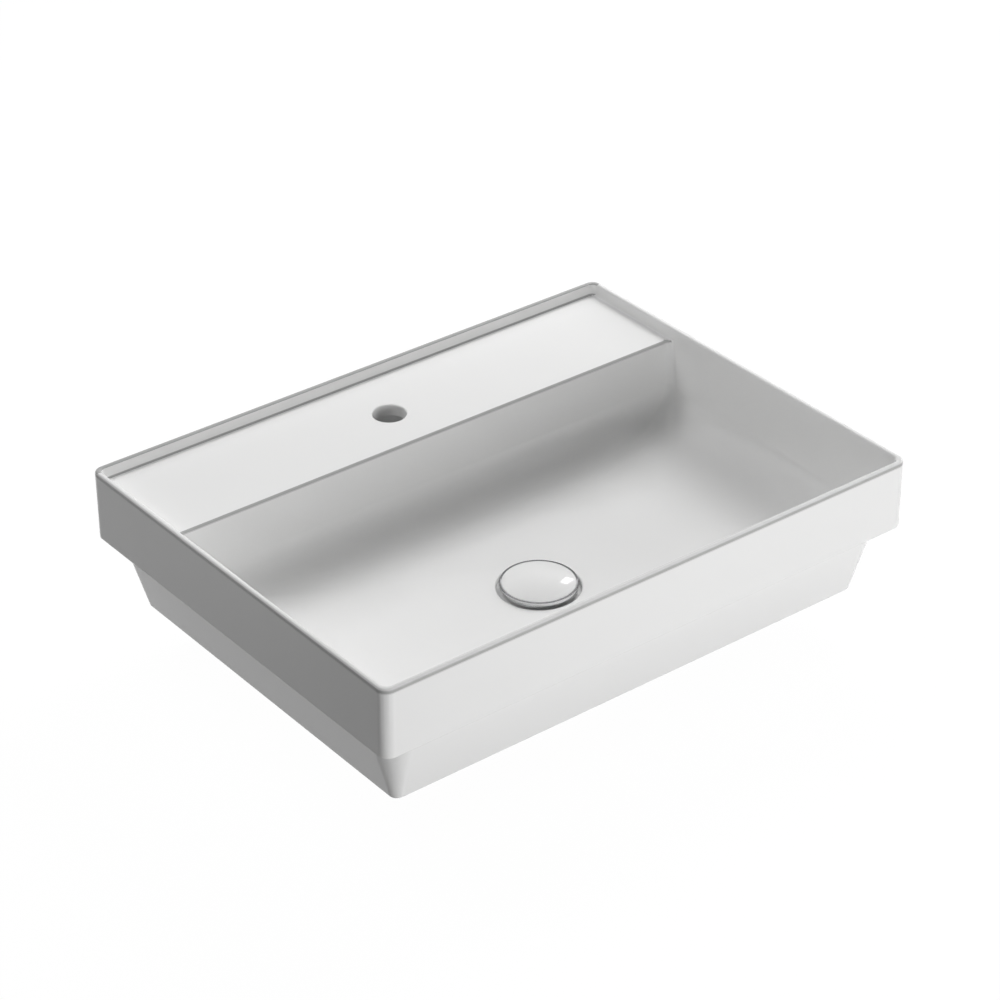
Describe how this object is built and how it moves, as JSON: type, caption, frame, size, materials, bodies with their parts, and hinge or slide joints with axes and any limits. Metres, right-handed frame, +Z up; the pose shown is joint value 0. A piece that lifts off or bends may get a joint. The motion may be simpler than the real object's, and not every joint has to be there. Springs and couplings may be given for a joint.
{
  "type": "inset basin",
  "caption": "Rectangular glazed ceramic basin with a tall collar that stands on a worktop, a tap ledge with one hole and a domed cover on a press-to-open waste",
  "frame": {"origin": "middle of the worktop plane, on which the collar's underside stands", "axes": "+X to the right seen from the front, +Y to the back where the tap ledge is, +Z up out of the worktop"},
  "size_m": [0.62, 0.47, 0.1936],
  "materials": {
    "ceramic": "glossy white glaze",
    "cover_ceramic": "glossy white glaze",
    "chrome": "polished",
    "brass": "turned",
    "steel": "drawn",
    "seal_rubber": "matt",
    "pad_rubber": "matt",
    "white_plastic": "moulded",
    "grey_plastic": "moulded"
  },
  "bodies": {
    "basin": {"basin_body": "ceramic", "waste_body": "chrome", "flange_seal": "seal_rubber", "boss_seal": "seal_rubber", "slip_washer": "white_plastic", "back_nut": "brass", "cartridge_sleeve": "grey_plastic", "cartridge_cap": "grey_plastic", "cartridge_spring": "steel", "cartridge_foot": "grey_plastic", "cartridge_nut": "grey_plastic"},
    "plug": {"plug_cover": "cover_ceramic", "cover_pad": "pad_rubber", "plug_plate": "chrome", "plug_seal": "seal_rubber", "plug_stem": "steel", "stem_nut": "steel", "cartridge_plunger": "grey_plastic"},
    "latch": {"latch_ring": "white_plastic"}
  },
  "joints": [
    {"name": "plug_slide", "type": "slide", "parent": "basin", "child": "plug", "axis": [0, 0, 1], "range_m": [-0.0015, 0.01], "deforming": ["cartridge_spring"]},
    {"name": "latch_turn", "type": "hinge", "parent": "basin", "child": "latch", "pos_m": [0, -0.06, -0.06], "axis": [0, 0, 1], "range_deg": [-50.5, 8]}
  ],
  "couplings": [
    {"joint": "latch_turn", "follows": "plug_slide", "rad_per_m": -87.266}
  ]
}
